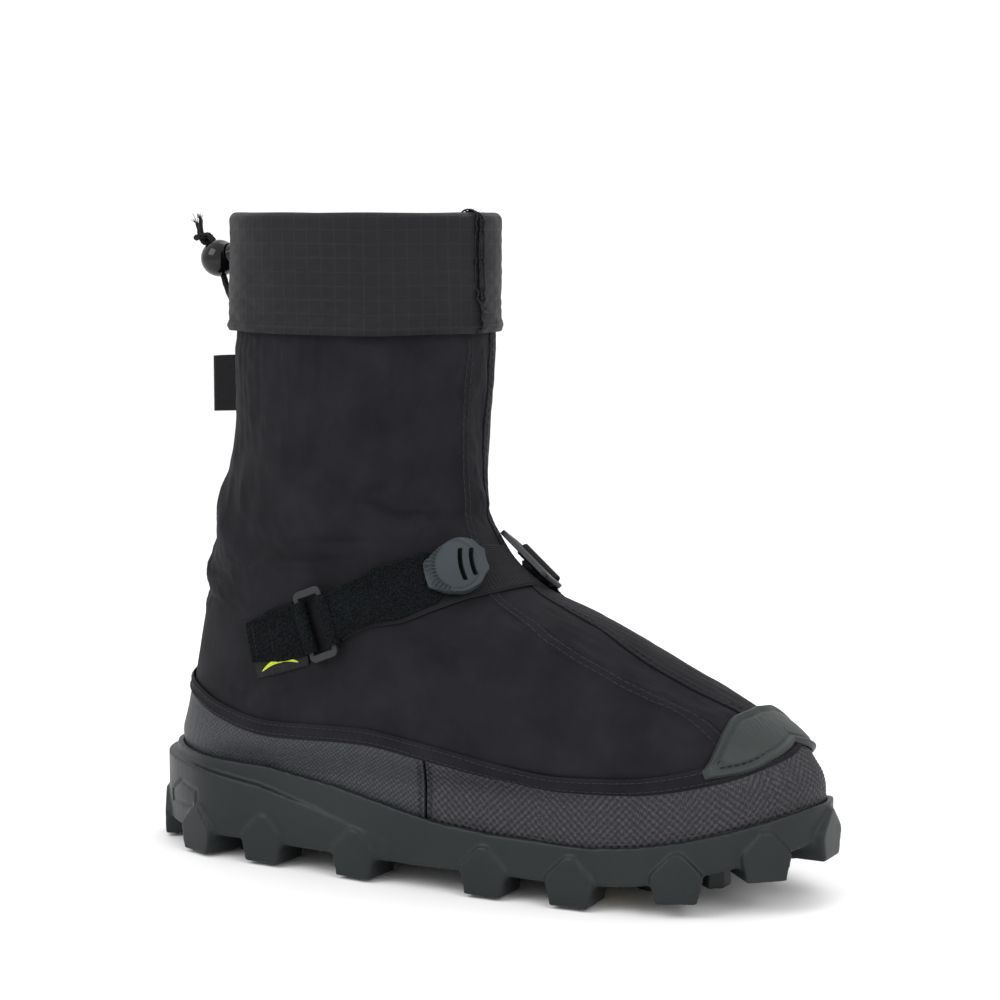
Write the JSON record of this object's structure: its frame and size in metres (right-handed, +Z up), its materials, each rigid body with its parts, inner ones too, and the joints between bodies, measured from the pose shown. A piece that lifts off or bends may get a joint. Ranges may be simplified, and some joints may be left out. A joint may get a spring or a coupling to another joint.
{
  "type": "overshoe gaiter",
  "caption": "Right winter overshoe with a studded rubber sole, coated rand, nylon shaft with folded collar, instep strap and drawcord lock.",
  "frame": {"origin": "bottom centre of the overshoe, on the ground under its stud tips", "axes": "+X to the toe, -Y to the outer (lateral) side of this right overshoe, +Z up"},
  "size_m": [0.3376, 0.121, 0.3004],
  "materials": {
    "rubber": "satin moulded rubber",
    "steel": "bright turned steel",
    "foam": "matte foam",
    "board": "pressed board",
    "inlay": "matte coloured rubber",
    "rand": "coated coarse basket weave",
    "binding": "stitched dark tape",
    "patch": "pebbled rubber",
    "nylon": "fine matte nylon",
    "lining": "coated ripstop inside",
    "ripstop": "ripstop with a faint sheen",
    "webbing": "ribbed webbing",
    "label": "satin label",
    "pile": "hook and loop pile",
    "plastic": "matte moulded plastic",
    "grip": "soft matte moulded plastic",
    "cord": "braided cord",
    "gloss": "polished plastic"
  },
  "bodies": {
    "boot": {"outsole": "rubber", "studs": "steel", "midsole": "foam", "insole_board": "board", "sole_inlay": "inlay", "rand_front": "rand", "rand_rear": "rand", "rand_binding": "binding", "toe_patch": "patch", "lateral_panel": "nylon", "front_panel": "nylon", "medial_panel": "nylon", "lining": "lining", "collar": "ripstop", "collar_seam": "ripstop", "heel_loop": "webbing", "side_label": "label", "anchor_strap": "pile", "instep_webbing": "webbing", "medial_anchor": "webbing", "drawcord_tail": "cord", "cord_knot": "cord"},
    "ring": {"strap_ring": "plastic"},
    "strap": {"strap_return": "pile"},
    "tab": {"thumb_tab": "grip"},
    "buckle": {"medial_buckle": "plastic"},
    "lock": {"cord_lock": "gloss"},
    "plunger": {"lock_plunger": "gloss"}
  },
  "joints": [
    {"name": "ring_swing", "type": "hinge", "parent": "boot", "child": "ring", "pos_m": [-0.06159, -0.05285, 0.11288], "axis": [0.3631, -0.067, -0.9293], "range_deg": [0, 12]},
    {"name": "strap_peel", "type": "hinge", "parent": "ring", "child": "strap", "pos_m": [-0.04967, -0.05301, 0.11754], "axis": [0.3631, -0.067, -0.9293], "range_deg": [0, 100]},
    {"name": "tab_lift", "type": "hinge", "parent": "strap", "child": "tab", "pos_m": [-0.00577, -0.04133, 0.13933], "axis": [0.404, -0.18, -0.8969], "range_deg": [0, 45]},
    {"name": "buckle_tilt", "type": "hinge", "parent": "boot", "child": "buckle", "pos_m": [0.01942, 0.02029, 0.138], "axis": [-0.8031, 0.195, 0.5631], "range_deg": [0, 30]},
    {"name": "lock_slide", "type": "slide", "parent": "boot", "child": "lock", "axis": [0.2449, 0, -0.9696], "range_m": [0, 0.005]},
    {"name": "plunger_press", "type": "slide", "parent": "lock", "child": "plunger", "axis": [-0.9696, 0, -0.2449], "range_m": [0, 0.003], "stiffness_N_per_m": 400, "springref_m": -0.003}
  ]
}
